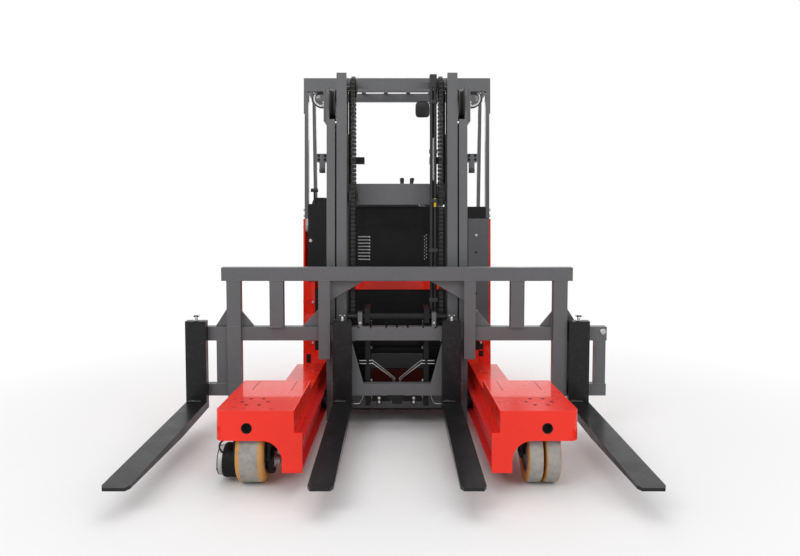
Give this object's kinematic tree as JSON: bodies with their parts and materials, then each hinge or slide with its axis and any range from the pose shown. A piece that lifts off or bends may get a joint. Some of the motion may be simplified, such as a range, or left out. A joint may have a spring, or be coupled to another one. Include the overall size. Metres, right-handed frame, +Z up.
{
  "type": "multi-directional reach truck",
  "caption": "Stand-on reach truck with straddle legs, steered wheels, a two-stage mast that slides between the legs, and a wide tilting fork carriage under an overhead guard.",
  "frame": {"origin": "on the floor, under the middle of the truck's overall box", "axes": "+Z up, forks point to -Y, +X to the right of someone who faces the forks"},
  "size_m": [2.472, 2.5799, 2.23],
  "materials": {
    "red_paint": "gloss",
    "rail_paint": "satin",
    "grey_paint": "satin",
    "black_paint": "satin",
    "fork_steel": "satin",
    "chrome_rod": "polished",
    "chain_steel": "oiled",
    "hose_rubber": "matte",
    "floor_rubber": "matte",
    "pad_vinyl": "satin",
    "control_plastic": "matte",
    "lamp_body": "satin",
    "mirror_shell": "satin",
    "drive_tread": "satin",
    "load_tread": "satin"
  },
  "bodies": {
    "chassis": {"leg_left": "red_paint", "leg_right": "red_paint", "leg_rail_left": "rail_paint", "leg_rail_right": "rail_paint", "chassis_frame": "red_paint", "front_wall": "black_paint", "front_band": "red_paint", "dash_panel": "black_paint", "console": "black_paint", "corner_posts": "red_paint", "corner_cover": "grey_paint", "side_panel_left": "red_paint", "side_panel_right": "red_paint", "operator_floor": "floor_rubber", "rear_hood": "red_paint", "hood_lid": "black_paint", "battery": "black_paint", "drive_motor": "black_paint", "back_pad": "pad_vinyl", "overhead_guard": "grey_paint", "guard_pillars": "grey_paint", "work_lamps": "lamp_body", "mirror": "mirror_shell", "steering_wheel": "control_plastic", "control_levers": "control_plastic", "stop_button": "control_plastic", "display": "control_plastic", "reach_barrel": "black_paint"},
    "reach": {"outer_mast": "grey_paint", "mast_sheaves": "chain_steel", "mast_brackets": "grey_paint", "reach_carriage": "black_paint", "lift_barrels": "black_paint", "reach_piston_rod": "chrome_rod"},
    "inner_stage": {"inner_mast": "grey_paint", "lift_rods": "chrome_rod", "lift_chains": "chain_steel", "mast_hoses": "hose_rubber"},
    "lift": {"lift_carriage": "black_paint", "tilt_barrel": "black_paint"},
    "tilt_piston": {"tilt_rod": "chrome_rod"},
    "fork_frame": {"fork_bars": "grey_paint", "load_backrest": "grey_paint", "fork_outer_left": "fork_steel", "fork_inner_left": "fork_steel", "fork_inner_right": "fork_steel", "fork_outer_right": "fork_steel"},
    "steer_front_left": {"drive_unit_front": "black_paint"},
    "wheel_front_left": {"drive_wheel_front": "drive_tread"},
    "steer_front_right": {"twin_unit_front": "black_paint"},
    "wheel_front_right": {"twin_wheels_front": "load_tread"},
    "steer_rear_right": {"drive_unit_rear": "black_paint"},
    "wheel_rear_right": {"drive_wheel_rear": "drive_tread"},
    "caster_rear_left": {"caster_fork_rear": "black_paint"},
    "wheel_rear_left": {"caster_wheels_rear": "load_tread"}
  },
  "joints": [
    {"name": "mast_reach", "type": "slide", "parent": "chassis", "child": "reach", "axis": [0, -1, 0], "range_m": [0, 0.6]},
    {"name": "mast_lift", "type": "slide", "parent": "reach", "child": "inner_stage", "axis": [0, 0, 1], "range_m": [-0.05, 1.36]},
    {"name": "carriage_lift", "type": "slide", "parent": "inner_stage", "child": "lift", "axis": [0, 0, 1], "range_m": [-0.05, 1.36]},
    {"name": "fork_tilt", "type": "hinge", "parent": "lift", "child": "fork_frame", "pos_m": [0, -0.158, 0.679], "axis": [-1, 0, 0], "range_deg": [0, 6]},
    {"name": "tilt_push", "type": "slide", "parent": "lift", "child": "tilt_piston", "axis": [0, -1, 0], "range_m": [0, 0.0525]},
    {"name": "steer_front_left_turn", "type": "hinge", "parent": "chassis", "child": "steer_front_left", "pos_m": [-0.68, -0.876, 0.361], "axis": [0, 0, 1], "range_deg": [-90, 90]},
    {"name": "steer_front_right_turn", "type": "hinge", "parent": "chassis", "child": "steer_front_right", "pos_m": [0.68, -0.876, 0.361], "axis": [0, 0, 1], "range_deg": [-90, 90]},
    {"name": "steer_rear_right_turn", "type": "hinge", "parent": "chassis", "child": "steer_rear_right", "pos_m": [0.33, 1.06, 0.361], "axis": [0, 0, 1], "range_deg": [-90, 90]},
    {"name": "caster_rear_left_swivel", "type": "hinge", "parent": "chassis", "child": "caster_rear_left", "pos_m": [-0.39, 1.06, 0.241], "axis": [0, 0, 1], "continuous": true},
    {"name": "spin_front_left", "type": "hinge", "parent": "steer_front_left", "child": "wheel_front_left", "pos_m": [-0.68, -0.876, 0.148], "axis": [1, 0, 0], "continuous": true},
    {"name": "spin_front_right", "type": "hinge", "parent": "steer_front_right", "child": "wheel_front_right", "pos_m": [0.68, -0.876, 0.142], "axis": [1, 0, 0], "continuous": true},
    {"name": "spin_rear_right", "type": "hinge", "parent": "steer_rear_right", "child": "wheel_rear_right", "pos_m": [0.33, 1.06, 0.148], "axis": [1, 0, 0], "continuous": true},
    {"name": "spin_rear_left", "type": "hinge", "parent": "caster_rear_left", "child": "wheel_rear_left", "pos_m": [-0.39, 1.115, 0.095], "axis": [1, 0, 0], "continuous": true}
  ],
  "couplings": [
    {"joint": "carriage_lift", "follows": "mast_lift", "ratio": 1},
    {"joint": "tilt_push", "follows": "fork_tilt", "m_per_rad": 0.4944}
  ]
}
